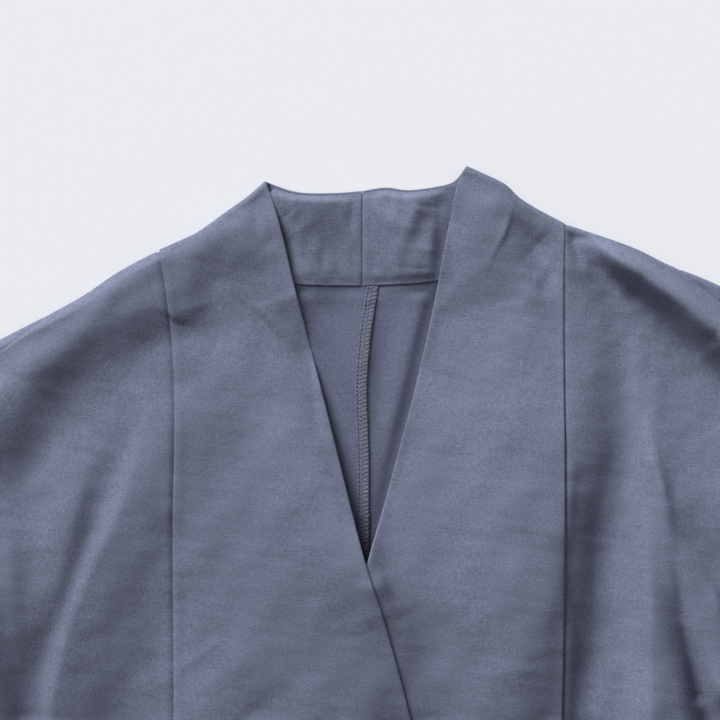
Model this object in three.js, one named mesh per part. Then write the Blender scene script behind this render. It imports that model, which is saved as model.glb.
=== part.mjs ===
// A kimono-style wrap jacket, laid on its back with the fronts upwards and the sleeves drawn down.
// Millimetres: +X is to the viewer's right, +Y towards the neck, +Z up from the surface it lies on.
// Left and right are the viewer's. The outline is drawn with the neck seam's centre back at (0, 0),
// and the group then moves the middle of the whole outline to the origin.
//
// Every cut piece is a wall of cloth: a grid of places on its middle surface, given a thickness.
// The back pieces lie flat and turn up at the outline. The front pieces start from the outline, round
// over to their loft, and carry the folds of the table DRAPE.

import * as THREE from "three";

// Driving sizes
const BACK_LENGTH = 648; // neck seam to back hem, down the centre back
const FRONT_LENGTH = 640; // from the same level to the front hem
const NECKBAND_HEIGHT = 55.8; // neck seam to the neckband's top edge, at the centre back
const HALF_CHEST = 281; // centre back to the armpit
const HALF_HEM = 288; // centre back to the side seam's foot
const ARMHOLE = 259; // shoulder to armpit, down the armhole seam
const SLEEVE_LENGTH = 360; // armhole seam to cuff, along the top fold
const CUFF_WIDTH = 226; // the flattened cuff
const SERGED_WIDTH = 6.5; // the overlocked seam allowance down the centre back

// Thicknesses, and the gap at every seam
const CLOTH = 1.5; // a single panel
const BAND = 2; // the front band: two layers and their interfacing
const FACING = 1; // the neckband's inside layer
const SERGED = 1.2; // two raw edges bound together
const SEAM_GAP = 0.3;

// How high the laid cloth stands
const EDGE_HEIGHT = 4.5; // the rounded outline, where front and back meet
const FRONT_LOFT = 10.5; // the fronts, in the middle of a panel
const CENTRE_LOFT = 6.8; // where the two bands cross
const HEM_LOFT = 8.5; // at the hem and the cuffs
const FRONT_ROLL = 16; // how far in from the outline the fronts reach their loft
const BACK_ROLL = 5; // and how far in the back pieces come down to the surface
const LAP_LIFT = 1.6; // half the step between the lapped bands

const at = (x, y) => new THREE.Vector2(x, y);
const mix = (a, b, t) => a + (b - a) * t;
const ease = (t) => THREE.MathUtils.smoothstep(t, 0, 1);

// A line is a row of points, evenly spaced on a smooth curve through the ones given.
const LINE_STEPS = 80;
const through = (...points) => new THREE.SplineCurve(points).getSpacedPoints(LINE_STEPS);
function on(line, share) {
  const step = share * (line.length - 1);
  const k = Math.min(Math.floor(step), line.length - 2);
  return line[k].clone().lerp(line[k + 1], step - k);
}

// The two halves as they lie. The garment was not laid quite evenly, so each half has its own points.
// collarFold runs from the neckband's peak to the neck point, and shoulder from there to the armhole.
const LEFT = {
  name: "left",
  sign: -1,
  sleeveDrop: 31, // degrees the sleeve's top fold falls below level
  chestLevel: -322,
  collarFold: through(at(-56, 61), at(-66.5, 51.8), at(-78.5, 43.3), at(-94.5, 31.8), at(-105.5, 26.3), at(-118, 20.8)),
  shoulder: through(at(-118, 20.8), at(-141.5, 8.3), at(-166.5, -8.2), at(-210.5, -31.2), at(-272, -63)),
  frontEdge: through(
    at(-56, 61),
    at(-52, 50),
    at(-46, 29),
    at(-39.5, 1),
    at(-30, -35),
    at(-17, -86),
    at(-6.3, -129),
    at(3.5, -165),
    at(13, -194),
    at(28.4, -252),
    at(56, -372),
    at(74, -500),
    at(80, -FRONT_LENGTH)
  ),
  bandSeam: through(
    at(-118, 20.8),
    at(-114.2, 0),
    at(-110.6, -34),
    at(-108.8, -81),
    at(-110, -150),
    at(-109.5, -252),
    at(-109, -430),
    at(-108, -FRONT_LENGTH)
  ),
  neckSeam: through(at(-SEAM_GAP / 2, 0.8), at(-40, 1.9), at(-82, 8.8), at(-118, 20.8)),
  topEdge: through(at(-SEAM_GAP / 2, NECKBAND_HEIGHT), at(-17, 54.6), at(-38, 55.2), at(-56, 61)),
};

const RIGHT = {
  name: "right",
  sign: 1,
  sleeveDrop: 28,
  chestLevel: -290,
  collarFold: through(at(60.5, 69.7), at(72, 64.5), at(83, 59), at(91, 51.5), at(101, 45), at(118, 36)),
  shoulder: through(at(118, 36), at(156, 23), at(179, 12), at(207.6, 0.3), at(272, -31)),
  frontEdge: through(
    at(60.5, 69.7),
    at(55.5, 60),
    at(52, 43),
    at(46.6, 15.4),
    at(40.8, -15.4),
    at(31, -58.7),
    at(22.8, -90),
    at(12.2, -129),
    at(3.5, -158),
    at(-12, -218),
    at(-26, -262),
    at(-52, -372),
    at(-70, -500),
    at(-76, -FRONT_LENGTH)
  ),
  bandSeam: through(
    at(118, 36),
    at(117.4, 10),
    at(116.8, -40),
    at(117, -106),
    at(116.6, -186),
    at(116, -300),
    at(115.5, -450),
    at(115, -FRONT_LENGTH)
  ),
  neckSeam: through(at(SEAM_GAP / 2, 0.8), at(44, 3.9), at(84, 15.8), at(118, 36)),
  topEdge: through(at(SEAM_GAP / 2, NECKBAND_HEIGHT), at(14, 57.8), at(27, 56.3), at(44, 58.6), at(60.5, 69.7)),
};

// Works out the sleeve and the side of one half from the driving sizes.
function withSleeveAndSide(half) {
  const { sign, shoulder, sleeveDrop, chestLevel } = half;
  const drop = THREE.MathUtils.degToRad(sleeveDrop);
  const along = at(sign * Math.cos(drop), -Math.sin(drop));
  const across = at(-sign * Math.sin(drop), -Math.cos(drop));
  const armTop = shoulder.at(-1);
  const armpit = at(sign * HALF_CHEST, chestLevel);
  const cuffTop = armTop.clone().addScaledVector(along, SLEEVE_LENGTH);
  const cuffFoot = cuffTop.clone().addScaledVector(across, CUFF_WIDTH);
  const underMiddle = armpit.clone().lerp(cuffFoot, 0.45).addScaledVector(across, -9);
  const backFoot = at(sign * HALF_HEM, -BACK_LENGTH);
  const frontFoot = on([armpit, backFoot], (chestLevel + FRONT_LENGTH) / (chestLevel + BACK_LENGTH));
  return {
    ...half,
    armhole: [armTop, armpit],
    overarm: [armTop, cuffTop],
    underarm: through(armpit, underMiddle, cuffFoot),
    cuff: [cuffTop, cuffFoot],
    frontSide: [armpit, frontFoot],
    backSide: [armpit, backFoot],
  };
}
const HALVES = [LEFT, RIGHT].map(withSleeveAndSide);

// The folds, a row each: the line of its crest or trough, and the rise along it (a trough's is
// negative). Its widths are on the left and on the right of someone walking that way.
const DRAPE = [
  // left front and sleeve
  { line: [at(-121, 2), at(-188, -15), at(-192, -60), at(-256, -93), at(-450, -191), at(-562, -256)],
    rise: [1, 1.2, 6, 13, 6.4, 3], widths: [47, 24] },
  { line: [at(-106, -32), at(-130, -39), at(-146, -48), at(-173, -76), at(-185, -109), at(-215, -150)],
    rise: [-4.4, -7.2, -8, -10.2, -7.6, -1], widths: [39, 26] },
  { line: [at(-115, -56), at(-127, -94), at(-139, -131), at(-159, -175), at(-176, -234), at(-207, -429), at(-216, -640)],
    rise: [-1.2, 2.8, 4, 6.4, 6.8, 4.2, 3], widths: [28, 8] },
  { line: [at(-158, -98), at(-168, -133), at(-178, -177), at(-196, -239), at(-215, -340), at(-234, -430)],
    rise: [1.2, 5.6, 4.4, -2, -4.2, 0], widths: [10, 16] },
  { line: [at(-115, -130), at(-131, -167), at(-116, -219), at(-139, -280)],
    rise: [-0.6, -3.4, -5.6, -3.4], widths: [27, 33] },
  { line: [at(-276, -292), at(-258, -237), at(-225, -195), at(-226, -147)],
    rise: [3, 7.2, 14.4, 11.8], widths: [40, 28] },
  { line: [at(-31, -67), at(-15, -145), at(13, -189), at(25, -254)],
    rise: [5, 11, 10.6, -2.4], widths: [25, 33] },
  { line: [at(-63, 43), at(-91, 37), at(-147, 6)],
    rise: [0, 2.6, 3.6], widths: [10, 54] },
  { line: [at(-296, -292), at(-290, -232), at(-272, -184), at(-250, -146)],
    rise: [-2, -4, -3, 0], widths: [13, 12] },
  { line: [at(-304, -296), at(-350, -282), at(-420, -276), at(-500, -288)],
    rise: [4, 7, 6, 1], widths: [16, 16] },
  { line: [at(-300, -228), at(-350, -204), at(-420, -212), at(-520, -252)],
    rise: [0, 4, 5, 1], widths: [19, 19] },
  { line: [at(-322, -262), at(-380, -246), at(-450, -252), at(-540, -290)],
    rise: [-1, -3, -3, -1], widths: [13, 13] },
  { line: [at(-262, -352), at(-248, -440), at(-256, -540), at(-262, -640)],
    rise: [1.6, 5, 4, 3], widths: [22, 13] },
  // right front and sleeve
  { line: [at(117, 43), at(141, 25), at(167, 6), at(185, -7), at(206, -27), at(262, -55), at(450, -150), at(576, -216)],
    rise: [1.8, 3.6, 9.6, 11.2, 8.4, 11.8, 7.8, 4.2], widths: [8, 9] },
  { line: [at(116, 26), at(150, 4), at(168, -16), at(186, -35), at(227, -71), at(244, -126)],
    rise: [0.8, -5.8, -9.4, -7.2, -2.2, 0.8], widths: [8, 41] },
  { line: [at(141, 13), at(156, -14), at(166, -53), at(167, -169), at(167, -255), at(168, -470), at(172, -640)],
    rise: [0.8, 4.2, 2.4, 11.2, 11.6, 7, 4], widths: [24, 8] },
  { line: [at(133, -50), at(148, -86), at(138, -144), at(137, -191), at(133, -249), at(122, -360), at(124, -470)],
    rise: [2, -2.8, -10.6, -7.6, -5.4, -3, 0], widths: [16, 11] },
  { line: [at(218, -126), at(222, -186), at(224, -251), at(246, -340), at(250, -480), at(256, -640)],
    rise: [7.4, 3, 5.4, 4, 4, 3], widths: [30, 30] },
  { line: [at(51, 45), at(87, 46), at(106, 29)],
    rise: [-4.8, 2, -2], widths: [13, 20] },
  { line: [at(103, -4), at(115, -68), at(110, -119), at(106, -152)],
    rise: [-0.2, 7.4, 12, 9.6], widths: [37, 71] },
  { line: [at(278, -262), at(262, -206), at(240, -160), at(222, -132)],
    rise: [3, 6, 5, 1], widths: [14, 14] },
  { line: [at(298, -262), at(292, -204), at(274, -158), at(256, -128)],
    rise: [-2, -4, -3, 0], widths: [12, 13] },
  { line: [at(304, -266), at(352, -250), at(424, -240), at(508, -248)],
    rise: [4, 7, 6, 1], widths: [16, 16] },
  { line: [at(300, -196), at(352, -172), at(424, -176), at(526, -212)],
    rise: [0, 4, 5, 1], widths: [19, 19] },
  { line: [at(324, -232), at(382, -212), at(452, -212), at(546, -250)],
    rise: [-1, -3, -3, -1], widths: [13, 13] },
];

// The nearest place on a line: how far off it is, how far along counted in points, and on which side
// (1 on the left of someone walking along it, -1 on the right, and between them past its ends).
function nearest(line, x, y) {
  const found = { distance: Infinity, along: 0, side: 0 };
  for (let k = 0; k + 1 < line.length; k++) {
    const a = line[k];
    const dx = line[k + 1].x - a.x;
    const dy = line[k + 1].y - a.y;
    const length = Math.hypot(dx, dy);
    const t = THREE.MathUtils.clamp(((x - a.x) * dx + (y - a.y) * dy) / length ** 2, 0, 1);
    const offX = x - a.x - dx * t;
    const offY = y - a.y - dy * t;
    const distance = Math.hypot(offX, offY);
    const side = (dx * offY - dy * offX) / (length * Math.max(distance, 1e-9));
    const nearer = distance < found.distance - 1e-9;
    const squarer = distance < found.distance + 1e-9 && Math.abs(side) > Math.abs(found.side);
    if (nearer || squarer) Object.assign(found, { distance, along: k + t, side });
  }
  return found;
}

const FOLD_STEPS = 24;
const folds = DRAPE.map(({ line, rise, widths }) => ({
  line: new THREE.SplineCurve(line).getPoints(FOLD_STEPS),
  riseAt: (along) => {
    const step = (along / FOLD_STEPS) * (rise.length - 1);
    const k = Math.min(Math.floor(step), rise.length - 2);
    return mix(rise[k], rise[k + 1], step - k);
  },
  widths,
}));

function foldRise(x, y) {
  return folds.reduce((sum, { line, riseAt, widths }) => {
    const { distance, along, side } = nearest(line, x, y);
    const width = mix(widths[1], widths[0], (side + 1) / 2);
    return sum + riseAt(along) * Math.exp(-Math.pow(distance / width, 2));
  }, 0);
}

// The outline where front and back meet in one rounded edge: over the shoulders, and under the arms
// and down the sides. Each line is walked with the cloth on its left, and runs on past the open ends.
const PAST_THE_END = 12;
const extended = (line) => {
  const [before, end] = line.slice(-2);
  return [...line, end.clone().add(end.clone().sub(before).setLength(PAST_THE_END))];
};
const outline = HALVES.flatMap(({ sign, collarFold, shoulder, overarm, underarm, backSide }) => {
  const top = extended([...collarFold, ...shoulder.slice(1), overarm[1]]);
  const foot = [...extended(underarm).reverse(), ...extended(backSide).slice(1)];
  return sign < 0 ? [top, foot] : [top.reverse(), foot.reverse()];
});

// How far inside the outline a point is.
function inset(x, y) {
  const found = outline.map((line) => nearest(line, x, y)).sort((a, b) => a.distance - b.distance)[0];
  return found.distance * Math.sign(found.side);
}

const SLOPE_STEP = 0.75;
const slopeOf = (height, x, y) =>
  at(
    height(x + SLOPE_STEP, y) - height(x - SLOPE_STEP, y),
    height(x, y + SLOPE_STEP) - height(x, y - SLOPE_STEP)
  ).divideScalar(2 * SLOPE_STEP);

// How far a rounded edge has turned, this far in from the outline: the sine and cosine of a quarter turn.
function turned(x, y, radius) {
  const cosine = 1 - THREE.MathUtils.clamp(inset(x, y) / radius, 0, 1);
  return { cosine, sine: Math.sqrt(1 - cosine * cosine), inward: slopeOf(inset, x, y).normalize() };
}

const CROSSING = { y: -158, width: 58, fade: 110 }; // where the two front edges cross
const HEM_FADE = 150;
const CUFF_FADE = 90;

// The loft of the front cloth over the surface, before it rounds down to the outline.
function frontLoft(x, y) {
  const centre = Math.exp(-Math.pow(x / CROSSING.width, 2)) * ease((CROSSING.y - y) / CROSSING.fade + 1);
  const hem = ease(1 - (y + FRONT_LENGTH) / HEM_FADE) * (1 - centre);
  const cuffs = HALVES.map(({ cuff }) => ease(1 - nearest(cuff, x, y).distance / CUFF_FADE));
  return mix(mix(FRONT_LOFT, CENTRE_LOFT, centre), HEM_LOFT, Math.max(hem, ...cuffs)) + foldRise(x, y);
}

// A place on a piece's middle surface, with the direction out of the garment there.
function frontPlace({ x, y }, lift = () => 0) {
  const { sine, cosine, inward } = turned(x, y, FRONT_ROLL);
  const rise = (u, v) => frontLoft(u, v) + lift(u, v) - EDGE_HEIGHT;
  const level = slopeOf(rise, x, y)
    .multiplyScalar(-sine * sine)
    .addScaledVector(inward, (-rise(x, y) * cosine) / FRONT_ROLL);
  return {
    point: new THREE.Vector3(x, y, EDGE_HEIGHT + rise(x, y) * sine),
    out: new THREE.Vector3(level.x, level.y, sine).normalize(),
  };
}

function backPlace({ x, y }, thickness, edgeHeight = EDGE_HEIGHT - SEAM_GAP) {
  const { sine, cosine, inward } = turned(x, y, BACK_ROLL);
  const drop = edgeHeight - thickness / 2;
  const level = inward.multiplyScalar((-drop * cosine) / BACK_ROLL);
  return {
    point: new THREE.Vector3(x, y, edgeHeight - drop * sine),
    out: new THREE.Vector3(level.x, level.y, -sine).normalize(),
  };
}

// A place moved off its surface: outwards, or inwards if the distance is negative.
const moved = ({ point, out }, distance) => ({ point: point.clone().addScaledVector(out, distance), out });

// Negative if the faces, three corners each, are turned inwards.
function signedVolume(vertices, index) {
  let sum = 0;
  for (let k = 0; k < index.length; k += 3) {
    const [a, b, c] = index.slice(k, k + 3).map((corner) => vertices[corner]);
    sum += a.dot(b.clone().cross(c));
  }
  return sum / 6;
}

// A closed wall of cloth around a grid of places.
function wall(rows, thickness) {
  const height = rows.length;
  const width = rows[0].length;
  const places = rows.flat();
  const outside = places.map((place) => moved(place, thickness / 2).point);
  const inside = places.map((place) => moved(place, -thickness / 2).point);
  const under = places.length;
  const index = [];
  const quad = (a, b, c, d) => index.push(a, b, c, a, c, d);
  const rim = (a, b) => quad(b, a, under + a, under + b);
  for (let i = 0; i + 1 < height; i++) {
    for (let j = 0; j + 1 < width; j++) {
      const a = i * width + j;
      quad(a, a + 1, a + width + 1, a + width);
      quad(under + a, under + a + width, under + a + width + 1, under + a + 1);
    }
    rim((i + 1) * width, i * width);
    rim(i * width + width - 1, (i + 1) * width + width - 1);
  }
  for (let j = 0; j + 1 < width; j++) {
    rim(j, j + 1);
    rim((height - 1) * width + j + 1, (height - 1) * width + j);
  }
  const vertices = [...outside, ...inside];
  if (signedVolume(vertices, index) < 0) index.reverse();
  const geometry = new THREE.BufferGeometry().setFromPoints(vertices);
  geometry.setIndex(index);
  geometry.computeVertexNormals();
  return geometry;
}

// A patch between four lines, as a grid of points at the shares given for its rows and columns.
function patch({ top, foot, start, end }, rowShares, columnShares) {
  return rowShares.map((r) =>
    columnShares.map((c) => {
      const acrossRows = top(c).lerp(foot(c), r);
      const alongRow = start(r).lerp(end(r), c);
      const corners = top(0).lerp(top(1), c).lerp(foot(0).lerp(foot(1), c), r);
      return acrossRows.add(alongRow).sub(corners);
    })
  );
}

const path = (line) => (share) => on(line, share);
const between = (from, to) => (share) => from.clone().lerp(to, share);
// One line after another, with the share of the whole at which the second begins.
const joined = (first, second, turn) => (share) =>
  share <= turn ? on(first, share / turn) : on(second, (share - turn) / (1 - turn));

const evenly = (from, to, steps) => Array.from({ length: steps }, (_, k) => mix(from, to, (k + 1) / steps));
// Shares of a length from a rounded edge inwards, close together where it turns, and out to one again.
const rollIn = (radius, length) => [0, 0.134, 0.5, 1].map((part) => (part * radius) / length);
const rollOut = (radius, length) =>
  rollIn(radius, length)
    .map((share) => 1 - share)
    .reverse();
const rollBoth = (radius, length, steps) => [
  ...rollIn(radius, length),
  ...evenly(radius / length, 1 - radius / length, steps),
  ...rollOut(radius, length).slice(1),
];

const FRONT_DROP = 660; // about the length of a front piece from the shoulder, to space its rows
const ARMHOLE_SHARE = ARMHOLE / FRONT_DROP;
const FRONT_ROWS = [
  ...rollIn(FRONT_ROLL, FRONT_DROP),
  ...evenly(FRONT_ROLL / FRONT_DROP, ARMHOLE_SHARE, 13),
  ...evenly(ARMHOLE_SHARE, 1, 14),
];
const NECK_ROWS = [0, 0.2, 0.4, 0.56, 0.7, 0.8, 0.88, 0.94, 0.98];

// A seam line drawn off its neighbour, with its first point kept on the rounded outline.
const drawnOff = (line, offset, first) => [first, ...line.slice(1).map((p) => p.clone().add(offset))];
// The point this far along a line that starts at a seam.
const along = (line, distance) => line[0].clone().add(line[1].clone().sub(line[0]).setLength(distance));

// The lapped bands: the left one over the right one, with the step fading out beside the lap.
const LAP_FADE = 34;
function edgeAt({ frontEdge }, y) {
  const k = Math.max(frontEdge.findIndex((p) => p.y < y), 1);
  const [a, b] = [frontEdge[k - 1], frontEdge[k]];
  return mix(a.x, b.x, (y - a.y) / (b.y - a.y));
}
const lapLift = (x, y) =>
  LAP_LIFT * ease((x - edgeAt(RIGHT, y)) / LAP_FADE + 1) * ease((edgeAt(LEFT, y) - x) / LAP_FADE + 1);

// The neckband's half behind the neck, from the centre back to its fold at the shoulder.
const neckbandPatch = ({ collarFold, neckSeam, topEdge }) => ({
  top: between(topEdge[0], neckSeam[0]),
  foot: path(collarFold),
  start: path(topEdge),
  end: path(neckSeam),
});

// A front band in one piece with its half of the neckband: round the neck, and down to the hem.
function frontBand(half) {
  const { sign, collarFold, frontEdge, bandSeam } = half;
  const columns = [0, ...evenly(0, 1, 11)];
  const neckband = patch(neckbandPatch(half), NECK_ROWS, columns);
  const front = patch(
    {
      top: path(collarFold),
      foot: between(frontEdge.at(-1), bandSeam.at(-1)),
      start: path(frontEdge),
      end: path(bandSeam),
    },
    FRONT_ROWS,
    columns
  );
  const rows = [
    ...neckband.map((row) => row.map((p) => backPlace(p, BAND, EDGE_HEIGHT))),
    ...front.map((row) => row.map((p) => frontPlace(p, (x, y) => -sign * lapLift(x, y)))),
  ];
  return wall(rows, BAND);
}

// The neckband's inside layer, lying on it from the centre back to near its fold.
function neckFacing(half) {
  const points = patch(neckbandPatch(half), NECK_ROWS.slice(0, 7), [0.03, ...evenly(0.03, 0.985, 6)]);
  const onBand = (p) => moved(backPlace(p, BAND, EDGE_HEIGHT), -(BAND / 2 + SEAM_GAP + FACING / 2));
  return wall(points.map((row) => row.map(onBand)), FACING);
}

// The side front, between the band seam and the armhole and side seams.
function sideFront({ sign, bandSeam, shoulder, armhole, frontSide }) {
  const width = HALF_CHEST - Math.abs(bandSeam.at(-1).x);
  const neckPoint = along(shoulder, SEAM_GAP * 1.1);
  const inner = drawnOff(bandSeam, at(sign * SEAM_GAP, 0), neckPoint);
  const points = patch(
    {
      top: path([neckPoint, ...shoulder.slice(1)]),
      foot: between(inner.at(-1), frontSide[1]),
      start: path(inner),
      end: joined(armhole, frontSide, ARMHOLE_SHARE),
    },
    FRONT_ROWS,
    [0, ...evenly(0, 1 - FRONT_ROLL / width, 15), ...rollOut(FRONT_ROLL, width).slice(1)]
  );
  return wall(points.map((row) => row.map((p) => frontPlace(p))), CLOTH);
}

// Half of the back, from the centre back seam to the armhole and side seams.
function backPanel({ sign, neckSeam, shoulder, armhole, backSide }) {
  const neckShare = 0.42; // of its width, from the centre back to the neck point
  const belowNeck = neckSeam.slice(0, -1).map((p) => p.clone().add(at(0, -SEAM_GAP)));
  const centreFoot = at((sign * SEAM_GAP) / 2, -BACK_LENGTH);
  const points = patch(
    {
      top: joined([...belowNeck, neckSeam.at(-1)], shoulder, neckShare),
      foot: between(centreFoot, backSide[1]),
      start: between(belowNeck[0], centreFoot),
      end: joined(armhole, backSide, ARMHOLE_SHARE),
    },
    [
      ...rollIn(BACK_ROLL, BACK_LENGTH),
      ...evenly(BACK_ROLL / BACK_LENGTH, ARMHOLE_SHARE, 6),
      ...evenly(ARMHOLE_SHARE, 1, 5),
    ],
    [
      ...[...NECK_ROWS, 1].map((share) => share * neckShare),
      ...evenly(neckShare, 1 - BACK_ROLL / HALF_HEM, 6),
      ...rollOut(BACK_ROLL, HALF_HEM).slice(1),
    ]
  );
  return wall(points.map((row) => row.map((p) => backPlace(p, CLOTH))), CLOTH);
}

// A sleeve: one piece, folded along the top of the arm and seamed under it.
function sleeve({ overarm, underarm, cuff }) {
  const armTop = along(overarm, SEAM_GAP * 1.2);
  const armpit = along(underarm, SEAM_GAP * 2.5);
  const lines = {
    top: between(armTop, armpit),
    foot: path(cuff),
    start: between(armTop, overarm[1]),
    end: path([armpit, ...underarm.slice(1)]),
  };
  const rows = [0, ...evenly(0, 1, 14)];
  const lower = patch(lines, rows, rollBoth(BACK_ROLL, CUFF_WIDTH, 4)).map((row) =>
    row.map((p, j) => backPlace(p, CLOTH, EDGE_HEIGHT - (j < row.length / 2 ? 0 : SEAM_GAP)))
  );
  const upper = patch(lines, rows, rollBoth(FRONT_ROLL, CUFF_WIDTH, 10)).map((row) => row.map((p) => frontPlace(p)));
  return wall(upper.map((row, i) => [...lower[i].slice(1).reverse(), ...row]), CLOTH);
}

// The centre back seam's allowance: both raw edges overlocked together, lying on the back panels.
// Each row is a place along its middle line.
const ALLOWANCE_LINE = [
  at(5.5, -2),
  at(3.6, -13),
  at(2.3, -26),
  at(1.4, -44),
  at(0.9, -83),
  at(1.2, -106),
  at(0.9, -136),
  at(0.2, -160),
  at(-0.4, -240),
  at(0.6, -400),
  at(0, -630),
];
function seamAllowance() {
  const line = new THREE.SplineCurve(ALLOWANCE_LINE).getPoints(36);
  const height = CLOTH + SEAM_GAP + SERGED / 2;
  const rows = line.map(({ x, y }) =>
    [-0.5, 0, 0.5].map((part) => ({
      point: new THREE.Vector3(x + part * SERGED_WIDTH, y, height),
      out: new THREE.Vector3(0, 0, 1),
    }))
  );
  return wall(rows, SERGED);
}

const SLATE_BLUE = 0x6c7289;
const SERGING_GREY = 0x60636f;
function piece(name, geometry, color) {
  const mesh = new THREE.Mesh(geometry, new THREE.MeshStandardMaterial({ color, roughness: 0.95, metalness: 0 }));
  mesh.name = name;
  return mesh;
}

const CUT_PIECES = {
  front_band: frontBand,
  side_front: sideFront,
  back: backPanel,
  sleeve,
  neck_facing: neckFacing,
};
const part = new THREE.Group();
for (const half of HALVES) {
  for (const [name, make] of Object.entries(CUT_PIECES)) {
    part.add(piece(`${name}_${half.name}`, make(half), SLATE_BLUE));
  }
}
part.add(piece("back_seam_allowance", seamAllowance(), SERGING_GREY));

const bounds = new THREE.Box3().setFromObject(part);
const middle = bounds.getCenter(new THREE.Vector3());
part.position.set(-middle.x, -middle.y, -bounds.min.z);

export default part;
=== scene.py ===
# A kimono-style wrap jacket of slate blue cloth, laid on its back on a pale floor and seen from above.
# Lines, lofts and folds follow the solids'. Millimetres are used until a mesh is made: +X is to the
# viewer's right, +Y towards the neck, +Z up, and (0, 0) is just below the neck seam at the centre back.

import math

import bpy
import numpy as np
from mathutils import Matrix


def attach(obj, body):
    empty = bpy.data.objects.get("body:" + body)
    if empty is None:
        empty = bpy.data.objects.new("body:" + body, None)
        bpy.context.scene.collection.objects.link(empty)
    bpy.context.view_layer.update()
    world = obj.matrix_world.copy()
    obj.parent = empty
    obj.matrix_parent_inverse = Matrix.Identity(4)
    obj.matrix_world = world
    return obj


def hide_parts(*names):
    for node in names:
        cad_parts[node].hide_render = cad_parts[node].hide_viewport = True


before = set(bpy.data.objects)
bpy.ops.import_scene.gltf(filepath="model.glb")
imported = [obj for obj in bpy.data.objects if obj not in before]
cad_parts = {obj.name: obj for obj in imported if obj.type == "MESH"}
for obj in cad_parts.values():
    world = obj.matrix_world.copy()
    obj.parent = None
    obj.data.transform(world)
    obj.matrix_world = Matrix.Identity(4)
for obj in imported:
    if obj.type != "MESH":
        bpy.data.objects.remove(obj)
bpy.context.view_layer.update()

MM = 0.001
ORIGIN = np.array([-4.623, 288.756, 0.0])  # where (0, 0) lies in the shared frame

# Driving sizes
BACK_LENGTH = 648
FRONT_LENGTH = 640
NECKBAND_HEIGHT = 55.8
HALF_CHEST = 281
HALF_HEM = 288
ARMHOLE = 259
SLEEVE_LENGTH = 360
CUFF_WIDTH = 226

# Thicknesses of the thin shells that lie on the solids' form
CLOTH = 0.6
BAND = 1.3
BAND_AT_NECK_SEAM = 0.7
FACING = 0.7
SEAM_GAP = 0.3

# How far in from a raw or folded edge the thin shells are rounded off
CLOTH_ROUND = 0.4
BAND_ROUND = 0.9
FACING_ROUND = 0.7
SERGED_ROUND = 0.6

# How high the laid cloth stands: on its outline, in the fronts, where the bands cross, and at the open ends
EDGE_HEIGHT = 4.5
FRONT_LOFT = 10.5
CENTRE_LOFT = 6.8
HEM_LOFT = 8.5

# The rounded outline: how high the fronts' roll is, and how far in from the outline the fronts' roll, their
# loft, their creases and the backs' roll come up in full
FRONT_ROUND = 2.2
FRONT_ROLL = 3
FRONT_SWELL = 28
CREASE_SWELL = 6
BACK_ROLL = 5

LINE_STEPS = 80
FINE_LINE_STEPS = 600


def catmull_rom(points, steps):
    """Places on a smooth curve through the points, evenly spaced in its parameter."""
    given = np.asarray(points, float)
    padded = np.vstack([given[:1], given, given[-1:]])
    parameter = np.linspace(0, len(given) - 1, steps + 1)
    k = np.minimum(parameter.astype(int), len(given) - 2)
    t = (parameter - k)[:, None]
    before, start, end, after = (padded[k + step] for step in range(4))
    leaving = (end - before) / 2
    arriving = (after - start) / 2
    cubic = (2 * start - 2 * end + leaving + arriving) * t**3
    square = (3 * end - 3 * start - 2 * leaving - arriving) * t**2
    return cubic + square + leaving * t + start


def through(*points):
    """A line: places evenly spaced along a smooth curve through the points."""
    fine = catmull_rom(points, FINE_LINE_STEPS)
    length = np.concatenate([[0], np.cumsum(np.linalg.norm(np.diff(fine, axis=0), axis=1))])
    even = np.linspace(0, length[-1], LINE_STEPS + 1)
    return np.column_stack([np.interp(even, length, fine[:, axis]) for axis in (0, 1)])


def on(line, share):
    """The places these shares along a line, counted in its points."""
    step = np.clip(share, 0, 1) * (len(line) - 1)
    return np.column_stack([np.interp(step, np.arange(len(line)), line[:, axis]) for axis in (0, 1)])


def straight(start, end):
    return np.array([start, end], float)


def stepped(line, distance):
    """The place this far from a line's start, towards its second point."""
    step = line[1] - line[0]
    return line[0] + step / np.linalg.norm(step) * distance


# The two halves as they lie, from the viewer's left and right
LEFT = {
    "name": "left",
    "sign": -1,
    "sleeve_drop": 31,
    "chest_level": -322,
    "collar_fold": through(
        (-56, 61), (-66.5, 51.8), (-78.5, 43.3), (-94.5, 31.8), (-105.5, 26.3), (-118, 20.8),
    ),
    "shoulder": through((-118, 20.8), (-141.5, 8.3), (-166.5, -8.2), (-210.5, -31.2), (-272, -63)),
    "front_edge": through(
        (-56, 61), (-52, 50), (-46, 29), (-39.5, 1), (-30, -35), (-17, -86), (-6.3, -129),
        (3.5, -165), (13, -194), (28.4, -252), (56, -372), (74, -500), (80, -FRONT_LENGTH),
    ),
    "band_seam": through(
        (-118, 20.8), (-114.2, 0), (-110.6, -34), (-108.8, -81), (-110, -150), (-109.5, -252),
        (-109, -430), (-108, -FRONT_LENGTH),
    ),
    "neck_seam": through((-SEAM_GAP / 2, 0.8), (-40, 1.9), (-82, 8.8), (-118, 20.8)),
    "top_edge": through((-SEAM_GAP / 2, NECKBAND_HEIGHT), (-17, 54.6), (-38, 55.2), (-56, 61)),
}
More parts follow.
